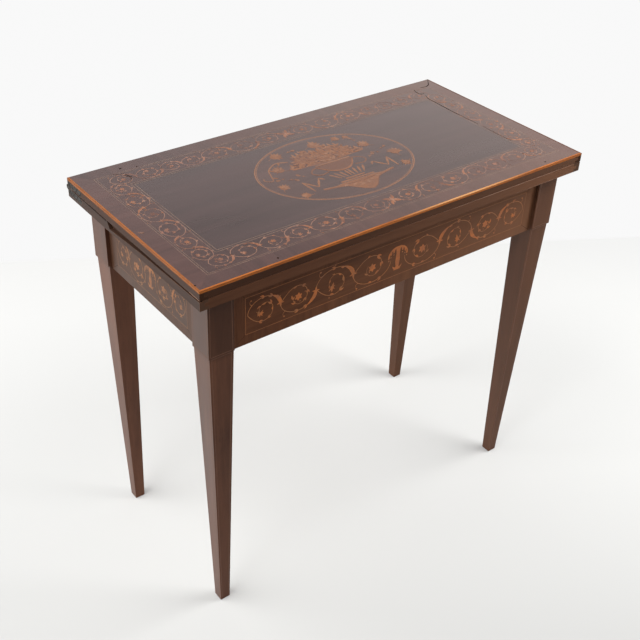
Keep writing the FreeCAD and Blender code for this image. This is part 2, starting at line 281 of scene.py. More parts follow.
# Edge stringing, in metres: its redder line, its depth, and where a painted highlight lies on the front one
string_reach = 0.01
string_line_span = (0.0012, 0.0006)
string_depth_span = (0.0036, 0.0044)
glint_place = 0.12
glint_span = (0.17, 0.03)
glint_depth_span = (0.0016, 0.0004)


# A painted highlight along the top of the front stringing, a little right of the middle
def painted_glint(tree, colour, pale, from_top):
    away = maths(tree, "ABSOLUTE", maths(tree, "SUBTRACT", coordinate(tree, "X"), glint_place))
    along = remap(tree, away, *glint_span, 0.0, 0.9)
    return mix(tree, maths(tree, "MULTIPLY", along, remap(tree, from_top, *glint_depth_span)), colour, pale)


def stringing_wood(name, axis, colours, pale=None):
    """Edge stringing on the side that looks along an axis."""
    dark, light = colours
    material, tree, shader = new_material(name, 0.5, 0.15)
    edge = half_w if axis == "X" else half_d
    across = maths(tree, "ABSOLUTE", coordinate(tree, axis))
    from_side = remap(tree, across, edge, edge - string_reach, 0.0, string_reach)
    from_top = remap(tree, coordinate(tree, "Z"), top_z, top_z - string_reach, 0.0, string_reach)
    from_arris = maths(tree, "ADD", from_side, from_top)
    grain = noise(tree, along_grain(tree, "Y" if axis == "X" else "X", 18.0, 1.0), 240.0, 3.0)
    worn = noise(tree, along_grain(tree, "Z", 1.0, 2.0), 26.0)
    colour = overlay(tree, dark, light, grain, 0.3, 0.7)
    colour = overlay(tree, colour, string_line, from_arris, *string_line_span, 0.6)
    colour = overlay(tree, colour, rail_dark, from_top, *string_depth_span)
    colour = overlay(tree, colour, [c * 0.9 + 0.02 for c in light], worn, 0.55, 0.72, 0.5)
    # Painted highlight on the front stringing
    if pale:
        colour = painted_glint(tree, colour, pale, from_top)
    dress(tree, shader, colour, grain, 0.1, 0.0003)
    return material


def metal(name, colours, roughness, metallic):
    clean, dull, rim = colours
    material, tree, shader = new_material(name, roughness, 0.5)
    place = object_place(tree)
    tarnish = remap(tree, noise(tree, place, 160.0, 6.0), 0.36, 0.64)
    colour = mix(tree, edge_wear(tree, 0.0008), mix(tree, tarnish, dull, clean), rim)
    shader.inputs["Metallic"].default_value = metallic
    uneven = remap(tree, tarnish, 0.0, 1.0, roughness * 1.3, roughness * 0.8)
    tree.links.new(uneven, shader.inputs["Roughness"])
    dress(tree, shader, colour, noise(tree, place, 900.0, 3.0), 0.15, 0.0002)
    return material


def baize_cloth(name):
    material, tree, shader = new_material(name, 0.95, 0.1)
    place = object_place(tree)
    fibres = noise(tree, place, 1500.0, 4.0, 0.7, distortion=1.5)
    patches = noise(tree, place, 9.0)
    colour = overlay(tree, baize_dark, baize_light, fibres, 0.3, 0.7)
    colour = overlay(tree, colour, baize_worn, patches, 0.45, 0.75, 0.5)
    shader.inputs["Sheen Weight"].default_value = 0.35
    shader.inputs["Sheen Roughness"].default_value = 0.5
    dress(tree, shader, colour, fibres, 0.5, bump_depth)
    return material


def inlay_wood(name, tones, ground, rubbed, gloss=0.35, cast=None):
    """Inlaid pieces, each of its own tone, rubbed in places to the ground."""
    red, orange, pale = tones
    material, tree, shader = new_material(name, 0.4, gloss)
    tone = add(tree, "Attribute", attribute_name="tone").outputs["Fac"]
    place = object_place(tree)
    grain = noise(tree, along_grain(tree, "X", 6.0), 500.0, 3.0)
    colour = overlay(tree, red, orange, tone, 0.0, 0.5)
    colour = overlay(tree, colour, pale, tone, 0.5, 1.0)
    colour = overlay(tree, colour, shaded(orange, 0.45), grain, 0.35, 0.7, 0.35)
    if cast:
        colour = overlay(tree, colour, cast, noise(tree, place, 8.0, 3.0), 0.45, 0.62, 0.7)
    colour = overlay(tree, colour, ground, noise(tree, place, 38.0, 5.0, 0.65), 0.44, 0.64, rubbed)
    tree.links.new(colour, shader.inputs["Base Color"])
    return material


# Materials of the solids; those of one kind share a finish
top_polish = {"roughness": 0.32, "specular": 0.5, "streak": 60.0, "relief": 0.008, "pore_depth": 0.12}
field_polish = {"roughness": 0.30, "specular": 0.5, "relief": 0.006, "pore_depth": 0.1}
rail_polish = {"roughness": 0.45, "specular": 0.45, "worn": worn_edge}
leaf_polish = {"roughness": 0.45, "specular": 0.5, "streak": 70.0}
cleat_polish = {"roughness": 0.5, "streak": 70.0, "worn": worn_edge}
bare_wood = {"roughness": 0.75, "specular": 0.2, "streak": 40.0}


def cover(material, *names):
    for name in names:
        for material_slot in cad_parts[name].material_slots:
            material_slot.material = material


field_veneer = wood("field_rosewood", field_wood, "X", streak=38.0, offset=0.3, right_light_share=0.1, **field_polish)
cover(field_veneer, "field_veneer")
cover(wood("border_crossband_end", end_border_wood, "X", offset=1.1, right_light_share=0.2, **top_polish),
      "left_border_veneer", "right_border_veneer")
cover(wood("border_crossband_long", border_wood, "Y", offset=2.3, right_light_share=0.28, **top_polish),
      "front_border_veneer", "back_border_veneer")
cover(wood("rail_veneer_long", rail_wood, "X", streak=45.0, offset=0.9, right_light_share=0.8, **rail_polish),
      "front_rail", "back_rail")
cover(wood("rail_veneer_end", end_rail_wood, "Y", streak=45.0, offset=1.7, **rail_polish),
      "left_rail", "right_rail")
cover(wood("leaf_wood_long", leaf_wood, "X", offset=2.9, right_light_share=0.35, **leaf_polish), "upper_leaf_panel")
cover(wood("lower_leaf_long", lower_leaf_wood, "X", offset=8.2, right_light_share=0.5, **leaf_polish), "lower_leaf_panel")
cover(wood("leaf_wood_end", cleat_wood, "Y", specular=0.25, offset=3.7, end_grain=0.9,
           end_colour=upper_cleat_end, **cleat_polish), "upper_leaf_left_cleat", "upper_leaf_right_cleat")
cover(wood("lower_cleat", cleat_wood, "Y", specular=0.3, offset=3.1, end_grain=0.85,
           end_colour=lower_cleat_end, **cleat_polish), "lower_leaf_left_cleat", "lower_leaf_right_cleat")
cover(wood("softwood_long", softwood, "X", offset=0.2, **bare_wood), "well_bottom", "well_ledges", "stop_peg")
cover(wood("softwood_cross", cross_softwood, "Y", offset=0.8, **bare_wood), "pivot_board", "well_partition")
cover(stringing_wood("stringing_left", "X", left_string_wood), "left_stringing")
cover(stringing_wood("stringing_right", "X", right_string_wood), "right_stringing")
cover(stringing_wood("stringing_front", "Y", front_string_wood, pale=string_glint), "front_stringing")
cover(baize_cloth("green_baize"), "lower_baize", "upper_baize")
cover(metal("tarnished_brass", hinge_metal, roughness=0.6, metallic=0.25),
      "lower_hinge_left", "lower_hinge_right", "upper_hinge_left", "upper_hinge_right")
cover(metal("plain_brass", brass, roughness=0.35, metallic=1.0), "pivot_bush")
cover(metal("dark_iron", iron, roughness=0.55, metallic=0.8),
      "pivot_plate", "pivot_plate_screws", "pivot_bolt", "pivot_washer", "pivot_nut", "pivot_board_screws",
      "lower_hinge_screws", "upper_hinge_screws", "hinge_pin_left", "hinge_pin_right")

# Legs: tone of each leg's copy of the veneer, painted light on the left legs and painted shade on the right
# ones; polish; painted shade on the block under the top; and share of polish left on the front
legs = {
    "leg_front_left": (1.22, 0.82, 0.5, 0.13),
    "leg_front_right": (0.92, 0.25, 0.0, 0.3),
    "leg_back_left": (1.42, 0.72, 0.35, 0.2),
    "leg_back_right": (0.84, 0.18, 0.0, 0.4),
}
for number, (name, (tone, polish, block_painted_shade, front_share)) in enumerate(legs.items()):
    # Each leg's copy of the veneer is scaled by its tone: painted light on the left legs, painted shade on
    # the right ones
    painted_leg_colours = [shaded(colour, tone) for colour in leg_wood]
    leg_veneer = wood(
        name + "_veneer", painted_leg_colours, "Z", specular=polish, streak=60.0, offset=0.4 + number, right_light_share=0.3,
        worn=worn_edge, block_painted_shade=block_painted_shade, front_share=front_share)
    cover(leg_veneer, name)

# Materials of the pieces that are laid into the solids
band_veneer = wood("band_veneer", band_wood, "X", offset=6.1, right_light_share=0.2, **top_polish)
oval_veneer = wood("medallion_veneer", oval_wood, "X", streak=50.0, offset=4.4, **field_polish)
long_banding = wood("rail_banding", rail_wood, "Z", streak=60.0, offset=5.3, right_light_share=0.8, **rail_polish)
end_banding = wood("end_rail_banding", end_rail_wood, "Z", streak=60.0, offset=9.1, **rail_polish)
top_inlay = inlay_wood("top_marquetry", top_tones, border_light, rubbed=0.8, cast=top_cast)
oval_inlay = inlay_wood("medallion_marquetry", oval_tones, oval_worn, rubbed=0.4)
rail_inlay = inlay_wood("rail_marquetry", rail_tones, rail_light, rubbed=0.45)
end_inlay = inlay_wood("end_rail_marquetry", end_rail_tones, end_rail_wood[1], rubbed=0.75)
leg_inlay = inlay_wood("leg_lines", leg_tones, leg_wood[1], rubbed=0.8)
line_inlay = inlay_wood("pale_lines", line_tones, border_light, rubbed=0.55)
# Dark lines: real mitre joints, cracks and dents, and the painted shadow in the gap at the left end
dark_marks_and_shadow = inlay_wood("dark_lines", dark_tones, rail_dark, rubbed=0.3, gloss=0.03)
# Pale marks: a real scratch on the top, and painted highlights along arrises of the leaves
pale_wear_and_highlight = inlay_wood("scratch_and_arris_highlight", pale_mark_tones, rail_light, rubbed=0.7)

# Marquetry: flat pieces drawn as strips on a plane, in millimetres as complex numbers.
# Each lies a hair higher than the one before it, so that pieces that overlap stay clean.
ground_lift = 0.02
sheet_lift = 0.03
base_lift = 0.04
hair_step = 0.004
hair_steps = 40
crack_lift = 0.21
sink = 0.3
least_half = 0.05


def new_object(name, data):
    thing = bpy.data.objects.new(name, data)
    scene.collection.objects.link(thing)
    return thing


class Inlay:
    """A set of thin inlaid pieces on one face of the table."""

    def __init__(self, origin, along, across):
        self.origin = Vector(origin)
        self.along = Vector(along)
        self.across = Vector(across)
        self.normal = self.along.cross(self.across)
        self.pieces = []

    def sheet(self, left, right, tone=0.5, lift=None):
        """A piece between two lines with the same number of points."""
        self.pieces.append((left, right, tone, lift))

    def strip(self, line, half_widths, tone=0.5, lift=None):
        """A piece along a line of points, with its half width at each."""
        left, right = [], []
        for i, point in enumerate(line):
            side = 1j * turn(heading(line, i)) * max(half_widths[i], least_half)
            left.append(point + side)
            right.append(point - side)
        self.sheet(left, right, tone, lift)

    def copy_mirrored(self):
        for left, right, tone, lift in self.pieces[:]:
            flipped = ([-p.conjugate() for p in side] for side in (right, left))
            self.sheet(*flipped, tone, lift)

    def place(self, point, height):
        return self.origin + (self.along * point.real + self.across * point.imag + self.normal * height) * MM

    def build(self, name, material, body, slot="stringing"):
        """One object of closed thin solids, which rides with a body."""
        verts, faces, tones = [], [], []
        for number, (left, right, tone, lift) in enumerate(self.pieces):
            if lift is None:
                lift = base_lift + hair_step * (number % hair_steps)
            faces.extend(strip_faces(len(verts), len(left)))
            for side in (left, right):
                for height in (lift, -sink):
                    verts.extend(self.place(p, height) for p in side)
            tones.extend([tone] * (4 * len(left)))
        mesh = bpy.data.meshes.new(name)
        mesh.from_pydata(verts, [], faces)
        mesh.attributes.new("tone", "FLOAT", "POINT").data.foreach_set("value", tones)
        mesh.materials.append(material)
        piece = new_object(name, mesh)
        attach(piece, body)


def strip_faces(base, count):
    """Faces of a closed strip, whose four lines of points follow each other from a base."""
    around = [base + k * count for k in (0, 2, 3, 1)]
    faces = []
    for i in range(count - 1):
        for a, b in zip(around, around[1:] + around[:1]):
            faces.append((a + i, b + i, b + i + 1, a + i + 1))
    faces.append(tuple(reversed(around)))
    faces.append(tuple(a + count - 1 for a in around))
    return faces


def top_face(x=0.0):
    """An inlay on the upper face, from its middle or a place beside it."""
    return Inlay((x, 0, top_z), (1, 0, 0), (0, 1, 0))


# Lines and simple shapes

def turn(angle):
    return cmath.exp(1j * angle)


def oval_point(half_x, half_y, angle):
    return complex(half_x * cos(angle), half_y * sin(angle))


def shares(count):
    return [i / (count - 1) for i in range(count)]


def heading(line, i):
    """The direction of a line of points at one of them."""
    last = len(line) - 1
    return cmath.phase(line[min(i + 1, last)] - line[max(i - 1, 0)])


def bent_line(base, angle, length, curl, count=8):
    """A line of points that sets out at an angle and bends by curl."""
    points = [base]
    step = length / (count - 1)
    for i in range(1, count):
        points.append(points[-1] + step * turn(angle + curl * (i - 0.5) / (count - 1)))
    return points


def smooth_line(places):
    """A smooth line through a few places given as pairs."""
    ends = [complex(*p) for p in places]
    ends = [2 * ends[0] - ends[1]] + ends + [2 * ends[-1] - ends[-2]]
    points = []
    steps = 6
    for k in range(1, len(ends) - 2):
        a, b, c, d = ends[k - 1:k + 3]
        for i in range(steps):
            s = i / steps
            slope = s * (c - a) / 2
            bend = s * s * (a - 2.5 * b + 2 * c - d / 2)
            twist = s ** 3 * (1.5 * (b - c) + (d - a) / 2)
            points.append(b + slope + bend + twist)
    return points + [ends[-2]]


def line_piece(inlay, start, end, width, tone=0.8):
    inlay.strip([start, end], [width / 2] * 2, tone)


def corners(half_x, half_y):
    signs = ((-1, -1), (1, -1), (1, 1), (-1, 1))
    return [complex(x * half_x, y * half_y) for x, y in signs]


def frame_lines(inlay, half_x, half_y, width):
    places = corners(half_x, half_y)
    for i, corner in enumerate(places):
        after = places[(i + 1) % 4]
        reach = (after - corner) / abs(after - corner) * width / 2
        line_piece(inlay, corner - reach, after + reach, width)


def mitred_frame(inlay, outer, inner):
    """Four mitred strips of veneer between two rectangles."""
    for i in range(4):
        j = (i + 1) % 4
        inlay.sheet([inner[i], inner[j]], [outer[i], outer[j]], 0.5, ground_lift)


def stem(inlay, points, width, tone):
    inlay.strip(points, [width / 2 * (1.0 - 0.5 * s) for s in shares(len(points))], tone)


def leaf_widths(half, count, early, blunt=1.0):
    """Half widths along a leaf that swells early and ends in a point."""
    swell = [sin(pi * s ** early) ** blunt for s in shares(count)[:-1]]
    return [half * w for w in swell] + [0.0]


def leaf(inlay, base, angle, length, width, curl, tone):
    line = bent_line(base, angle, length, curl)
    inlay.strip(line, leaf_widths(width / 2, len(line), 0.75, 0.9), tone)


def oval(inlay, centre, half_x, half_y, tone, lift, count):
    angles = [pi * s for s in shares(count)]
    points = [centre - half_x * cos(a) for a in angles]
    inlay.strip(points, [half_y * sin(a) for a in angles], tone, lift)


def disc(inlay, centre, radius, tone, lift=None):
    oval(inlay, centre, radius, radius, tone, lift, 9)


def blossom(inlay, centre, radius, start, tone):
    """A round flower of six pointed petals with a small eye."""
    for i in range(6):
        angle = start + 2 * pi * i / 6
        leaf(inlay, centre + 0.12 * radius * turn(angle), angle, radius * 0.9, radius * 0.6, 0.2, tone)
    disc(inlay, centre, radius * 0.2, 0.1)


# Scrolls: a stem that waves along a band and sends a curl into each of its bends; a style says how wide,
# leafy and round it is, how large its hearts and husks are, how its bends vary, and what stands in the middle
Style = namedtuple("Style", "stem_w fullness roundness heart broad taper uneven motif motif_gap motif_share")
wave_count = 25
wave_spots = (4, 8, 12)
hook_spot = 18
husk_count = 10
curl_count = 49
curl_spots = range(8, 46, 6)
curl_start = 0.95
curl_loss = 0.6
curl_ease = 0.5


def spray(inlay, rng, line, spots, size, fullness):
    """Small spiky leaves and dots on both sides of a stem."""
    for i in spots:
        way = heading(line, i)
        for side in (1, -1):
            if rng.random() < fullness:
                reach = size * rng.uniform(0.22, 0.38)
                tone = rng.uniform(0.2, 1.0)
                leaf(inlay, line[i], way + side * 0.75, reach, reach * 0.36, -side * 0.9, tone)
        if rng.random() < fullness / 2:
            disc(inlay, line[i] + size * 0.17 * turn(way + 1.5), size * 0.04, 0.8)


def husk(inlay, wave, size, broad):
    """A broad leaf round the start of a bend, with small lobes over the fork."""
    line = wave[:husk_count]
    inlay.strip(line, leaf_widths(broad * size, len(line), 0.6), 0.5)
    for spread in (-0.9, 0.9, 0.0):
        length = size * (0.4 - 0.1 * abs(spread))
        leaf(inlay, wave[1], heading(wave, 0) + pi + spread, length, length * 0.36, 0.9 * spread, 0.45)


def curl_heart(inlay, rng, curl, centre, size, flowered, heart):
    """The middle of a curl: a flower, or leaves on the tip of the stem."""
    if flowered:
        blossom(inlay, centre, size * heart, rng.uniform(0, 1), 0.45)
        return
    way = heading(curl, len(curl) - 1)
    for side in (-2, 2, -1, 1, 0):
        length = size * heart * rng.uniform(0.9, 1.3)
        leaf(inlay, curl[-1], way + side * 0.6, length, length * 0.34, side * 0.5, 0.4 + 0.12 * abs(side))
    disc(inlay, curl[-1], size * 0.07, 0.7)


def scroll_loop(inlay, rng, centre, half_l, half_h, up, style, flowered, first):
    """One bend of the stem with its curl, leaves, tendril and husk."""
    size = min(half_l, half_h)
    curl_l = half_l + (curl_start * size - half_l) * style.roundness
    end = pi * rng.uniform(2.1, 2.5)

    def curl_point(angle):
        shrink = curl_start - curl_loss * angle / end
        reach = curl_l * shrink + (half_l - curl_start * curl_l) * exp(-angle / curl_ease)
        return centre + oval_point(reach, up * half_h * shrink, angle)

    wave = [centre + oval_point(half_l, up * half_h, pi * (1 + s)) for s in shares(wave_count)]
    curl = [curl_point(end * s) for s in shares(curl_count)]
    spray(inlay, rng, wave, wave_spots, size, style.fullness)
    spray(inlay, rng, curl, curl_spots, size, style.fullness)
    hook = bent_line(wave[hook_spot], heading(wave, hook_spot) - up * 0.5, size * 0.5, -up * 2.8)
    stem(inlay, hook, style.stem_w * 0.8, 0.75)
    disc(inlay, hook[-1], size * 0.055, 0.6)
    curl_heart(inlay, rng, curl, centre, size, flowered, style.heart)
    inlay.strip(wave, [style.stem_w / 2] * wave_count, rng.uniform(0.8, 1.0))
    stem(inlay, curl, style.stem_w * 1.1, 0.9)
    if not first:
        husk(inlay, wave, size, style.broad)


def stand(inlay, size):
    """The stand in the middle of a rail: a post on a foot, with arms hung with husks."""
    levels = (-0.95, -0.82, -0.7, -0.2, 0.4, 0.8, 0.98)
    halves = (0.3, 0.28, 0.13, 0.2, 0.15, 0.2, 0.3)
    inlay.strip([1j * size * level for level in levels], [size * half for half in halves], 0.5)
    for side in (-1, 1):
        groove = (complex(side * 0.07, -0.6) * size, complex(side * 0.06, 0.6) * size)
        line_piece(inlay, *groove, size * 0.035, 0.0)
        arm = bent_line(0.86j * size, pi / 2 - side * 1.35, size * 1.1, -side * 1.5, 12)
        stem(inlay, arm, size * 0.2, 0.5)
        for i in (4, 7, 10):
            leaf(inlay, arm[i], -pi / 2, size * 0.36, size * 0.17, side * 0.2, 0.5)
            disc(inlay, arm[i] - 0.46j * size, size * 0.055, 0.8)
        leaf(inlay, -0.85j * size, pi / 2 - side * 1.7, size * 0.55, size * 0.16, side * 1.4, 0.45)


def cross_flower(inlay, size):
    """The motif of a long band of the top: four leaves in a cross, with buds."""
    for i in range(4):
        angle = pi * (0.25 + 0.5 * i)
        leaf(inlay, 0.1 * size * turn(angle), angle, size * 0.85, size * 0.3, 0.6, 0.5)
        leaf(inlay, 0.1 * size * turn(angle + 0.8), angle + 0.8, size * 0.5, size * 0.16, -0.6, 0.75)
    disc(inlay, 0, size * 0.16, 0.85)


def scroll_run(inlay, rng, start, length, half_h, loops, style):
    """Bends of a scroll one after the other, smaller towards the end."""
    sizes = [1.0 - style.taper * s + rng.uniform(-style.uneven, style.uneven) for s in shares(loops)]
    unit = length / sum(sizes) / 2
    for i, size in enumerate(sizes):
        half_l = unit * size
        up = -1 if i % 2 else 1
        scroll_loop(inlay, rng, start + half_l, half_l, half_h * size ** 0.6, up, style, i % 2 == 0, i == 0)
        start += 2 * half_l


def scroll_band(inlay, rng, half_length, half_h, loops, style):
    """A band of scrolls that runs both ways from a motif in the middle."""
    scroll_run(inlay, rng, style.motif_gap, half_length - style.motif_gap, half_h, loops, style)
    inlay.copy_mirrored()
    style.motif(inlay, half_h * style.motif_share)


# Band, lines and scrolls round the border of the top; the right end lies a little nearer to the edge
inner_line = (half_w - field_high.x) / MM
band_mid = 58.5
band_half_h = 19.5
band_start = 36.0
long_margin = 53.0
short_margin = 67.0
right_shift = 6.0
field_lap = 1.0
band_x = right_shift / 2 * MM
edge_x = half_w / MM + right_shift / 2
edge_y = half_d / MM
top_style = Style(
    stem_w=1.1, fullness=0.75, roundness=0.35, heart=0.28, broad=0.12, taper=0.0, uneven=0.26,
    motif=cross_flower, motif_gap=11.0, motif_share=1.0)

# Insets of each line from the ends and the long sides, and its width
line_sizes = (
    (34.5, 31.5, 0.7),
    (38.0, 35.0, 0.6),
    (inner_line - 2.6, inner_line - 2.6, 0.8),
    (inner_line + 2.4, inner_line + 2.4, 0.8),
)


def top_border():
    """The ground of the band, the strip of field veneer beside its right end, and the lines."""
    ground = top_face(band_x)
    outer = corners(edge_x - band_start, edge_y - band_start)
    mitred_frame(ground, outer, corners(edge_x - inner_line, edge_y - inner_line))
    ground.build("top_band", band_veneer, "upper_leaf", "border_veneer")
    field_end = top_face(band_x)
    lap_x = edge_x - (inner_line + right_shift) - field_lap
    inner_side = [complex(lap_x, y) for y in (-field_high.y / MM, field_high.y / MM)]
    field_end.sheet(inner_side, [p + right_shift + field_lap for p in inner_side], 0.5, ground_lift)
    field_end.build("field_end", field_veneer, "upper_leaf", "field_veneer")
    lines = top_face(band_x)
    for inset_x, inset_y, width in line_sizes:
        frame_lines(lines, edge_x - inset_x, edge_y - inset_y, width)
    lines.build("top_border_lines", line_inlay, "upper_leaf")


top_border()
long_half = half_w / MM - long_margin
short_half = half_d / MM - short_margin
left_x = -half_w + band_mid * MM
right_x = half_w - (band_mid - right_shift) * MM
front_y = -half_d + band_mid * MM
band_places = {
    "front": ((0, front_y, top_z), (1, 0, 0), (0, 1, 0), long_half, 7, 11),
    "back": ((0, -front_y, top_z), (-1, 0, 0), (0, -1, 0), long_half, 7, 12),
    "left": ((left_x, 0, top_z), (0, -1, 0), (1, 0, 0), short_half, 6, 13),
    "right": ((right_x, 0, top_z), (0, 1, 0), (-1, 0, 0), short_half, 6, 14),
}
for name, (origin, along, across, half_length, loops, seed) in band_places.items():
    band = Inlay(origin, along, across)
    rng = random.Random(seed)
    if name in ("front", "back"):
        scroll_band(band, rng, half_length, band_half_h, loops, top_style)
    else:
        scroll_run(band, rng, -half_length, 2 * half_length, band_half_h, loops, top_style)
    band.build("top_scrolls_" + name, top_inlay, "upper_leaf")

# Oval medallion of the top: an urn of flowers on a bracket, with ribbons, a curl and scattered flowers
oval_x = 157.0
oval_y = 117.5
ring_w = 2.2
inner_ring_w = 0.9
ring_gap = 2.8
urn_x = 3.0
curl_w = 3.2
flute_count = 4

# Outlines of the right half of the urn, in millimetres from its middle line
heap_top = [(0, 61), (13, 67), (26, 73), (38, 67), (50, 63), (58, 50), (67, 37), (80, 25)]
heap_under = [(0, 17), (11, 17), (22, 17), (33, 18), (44, 20), (55, 21), (66, 21), (80, 23)]
bowl_rim = [(0, 14), (13, 14), (26, 14), (39, 14)]
bowl_under = [(0, -22), (14, -19), (27, -10), (40, 7)]
bowl_handle = [(40, 9), (52, 5), (60, -7), (49, -18), (30, -15)]
bracket_top = [(0, -64), (20, -64), (37, -64), (52, -66), (66, -64), (79, -62)]
bracket_under = [(0, -106), (12, -100), (24, -88), (36, -76), (52, -71), (79, -66)]
ribbon_fold = [(94, -61), (96, -23), (79, -51), (61, -24), (54, -34)]

# Curl and flowers round the urn; the third number of a flower is its size
curl_places = [(-67, 55), (-90, 62), (-114, 47), (-123, 27), (-131, 9), (-143, 16), (-141, 24)]
large_flowers = [(-74, 85, 16), (13, 86, 18), (-98, 37, 15), (98, 39, 15), (127, -15, 16), (-129, -21, 13)]
medium_flowers = [(64, 87, 11), (86, 82, 9), (117, -60, 12), (-112, -64, 12)]
small_sprigs = [(94, 65), (-40, 90), (-98, -2), (-115, 5), (97, 2), (117, 9), (-78, -4), (76, -2)]


def oval_ring(inlay, half_x, half_y, width, tone):
    count = 97
    points = [oval_point(half_x, half_y, 2 * pi * s) for s in shares(count)]
    inlay.strip(points, [width / 2] * count, tone)


def heap_of_flowers(inlay, rng):
    """The right half of the flowers: leaves of many tones over a ground."""
    top, low = smooth_line(heap_top), smooth_line(heap_under)
    inlay.sheet(top, low, 0.3, sheet_lift)
    for i in range(len(top) - 2):
        for level in (0.15, 0.4, 0.65, 0.9):
            at = low[i] + (level + rng.uniform(-0.1, 0.1)) * (top[i] - low[i])
            length = rng.uniform(6.0, 11.0)
            tone = rng.choice((0.0, 0.5, 0.5, 0.6, 0.95))
            leaf(inlay, at, rng.uniform(0.0, 3.1), length, length * 0.42, rng.uniform(-0.8, 0.8), tone)
    for i in range(3, len(top), 5):
        way = cmath.phase(top[i] - low[i]) + rng.uniform(-0.4, 0.4)
        leaf(inlay, top[i], way, rng.uniform(9, 14), 4.5, rng.uniform(-0.6, 0.6), rng.choice((0.2, 0.6, 0.9)))


def bowl_half(inlay):
    """The right half of the bowl, its handle and flutes."""
    rim, under = smooth_line(bowl_rim), smooth_line(bowl_under)
    inlay.sheet(rim, under, 0.12, sheet_lift)
    inlay.strip(rim, [1.7] * len(rim), 0.8)
    inlay.strip(under, [2.4 - 1.4 * s for s in shares(len(under))], 0.5)
    handle = smooth_line(bowl_handle)
    inlay.strip(handle, [1.5] * len(handle), 0.3)
    for i in range(flute_count):
        flute = [complex(3.5 + 11.5 * i - 4.2 * i * s, -25 - 22 * s) for s in (0.0, 0.3, 0.6, 1.0)]
        inlay.strip(flute, [1.2, 2.3, 2.0, 0.8], 0.7)


def bracket_half(inlay):
    """The right half of the steps and bracket under the urn, and the ribbon beside it."""
    line_piece(inlay, complex(0, -52), complex(21, -52), 4.0, 0.55)
    line_piece(inlay, complex(0, -59), complex(37, -59), 4.5, 0.6)
    top, low = smooth_line(bracket_top), smooth_line(bracket_under)
    inlay.sheet(top, low, 0.45, sheet_lift)
    inlay.strip(top, [0.9] * len(top), 0.85)
    inlay.strip(low, [0.8] * len(low), 0.2)
    for x, y, angle in ((3, -84, 0.9), (3, -84, 0.2), (14, -74, -0.3), (30, -70, -0.2)):
        leaf(inlay, complex(x, y), angle, 13.0, 4.6, -0.4, 0.9)
    line_piece(inlay, complex(4, -72), complex(34, -69), 1.2, 0.0)
    fold = [complex(*p) for p in ribbon_fold]
    for a, b in zip(fold, fold[1:]):
        inlay.strip([a, (a + b) / 2, b], [0.9, 2.3, 0.9], 0.7)


def tuft(inlay, rng, at, size):
    """A flower head from the side, on a short stem."""
    angle = rng.uniform(0, 2 * pi)
    stem(inlay, bent_line(at, angle + pi, size * 1.3, 0.6), 1.5, 0.7)
    disc(inlay, at, size * 0.6, 0.4)
    for i in range(7):
        spread = (i - 3) * 0.45
        length = size * rng.uniform(0.85, 1.1)
        tone = rng.uniform(0.3, 1.0)
        leaf(inlay, at, angle + spread, length, size * 0.36, spread * 0.3, tone)


def sprig(inlay, rng, base, angle, length, curl):
    """A bent stem with two pairs of small leaves and a flower at its tip."""
    points = bent_line(base, angle, length, curl, 10)
    stem(inlay, points, 0.7, 0.65)
    for at in (2, 6):
        for side in (-1, 1):
            reach = length * rng.uniform(0.24, 0.32)
            way = heading(points, at) + side * 0.75
            leaf(inlay, points[at], way, reach, reach * 0.4, -side * 0.5, rng.uniform(0.3, 0.75))
    blossom(inlay, points[-1], 3.6, rng.uniform(0, 1), rng.uniform(0.5, 0.9))


def scattered_flowers(inlay, rng):
    for x, y, size in large_flowers + medium_flowers:
        tuft(inlay, rng, complex(x, y), size)
    for place in small_sprigs:
        angle = rng.uniform(0, 2 * pi)
        sprig(inlay, rng, complex(*place) - 8.0 * turn(angle), angle, 17.0, rng.uniform(-1.2, 1.2))


def medallion():
    rng = random.Random(31)
    ground = top_face()
    oval(ground, 0, oval_x, oval_y, 0.5, ground_lift, 41)
    ground.build("medallion_ground", oval_veneer, "upper_leaf", "field_veneer")
    art = top_face()
    oval_ring(art, oval_x, oval_y, ring_w, 0.75)
    oval_ring(art, oval_x - ring_gap, oval_y - ring_gap, inner_ring_w, 0.95)
    scattered_flowers(art, rng)
    curl = smooth_line(curl_places)
    stem(art, curl, curl_w, 0.75)
    for i in (4, 12, 20):
        leaf(art, curl[i], heading(curl, i) + 0.9, 12.0, 4.0, 0.8, 0.5)
    art.build("medallion_marquetry", oval_inlay, "upper_leaf")
    urn = top_face(urn_x * MM)
    bowl_half(urn)
    bracket_half(urn)
    heap_of_flowers(urn, rng)
    urn.copy_mirrored()
    urn.build("medallion_urn", oval_inlay, "upper_leaf")


medallion()

# Rail panels: a mitred banding, a frame of thin lines and scrolls, in millimetres
rail_end_margin = 26.0
rail_top_margin = 32.0
rail_low_margin = 19.0
scroll_edge_gap = 5.0
scroll_end_gap = 4.0
mitre_w = 0.5
panel_line_w = 0.65
panel_half_h = ((rail_high.z - rail_low.z) / MM - rail_top_margin - rail_low_margin) / 2
panel_z = rail_low.z + rail_low_margin * MM + panel_half_h * MM
rail_style = Style(
    stem_w=1.25, fullness=0.7, roundness=0.85, heart=0.29, broad=0.14, taper=0.25, uneven=0.03,
    motif=stand, motif_gap=16.0, motif_share=0.82)
end_style = rail_style._replace(
    stem_w=1.2, fullness=0.9, roundness=0.6, heart=0.28, broad=0.13, motif_share=0.72)
long_dress = (long_banding, rail_inlay, rail_style)
end_dress = (end_banding, end_inlay, end_style)
rail_panels = {
    "front": ((0, rail_low.y, panel_z), (1, 0, 0), leg_low.x, 4, 21, *long_dress),
    "back": ((0, -rail_low.y, panel_z), (-1, 0, 0), leg_low.x, 0, 24, *long_dress),
    "left": ((end_rail_low.x, 0, panel_z), (0, -1, 0), -leg_high.y, 2, 22, *end_dress),
    "right": ((-end_rail_low.x, 0, panel_z), (0, 1, 0), -leg_high.y, 2, 23, *end_dress),
}


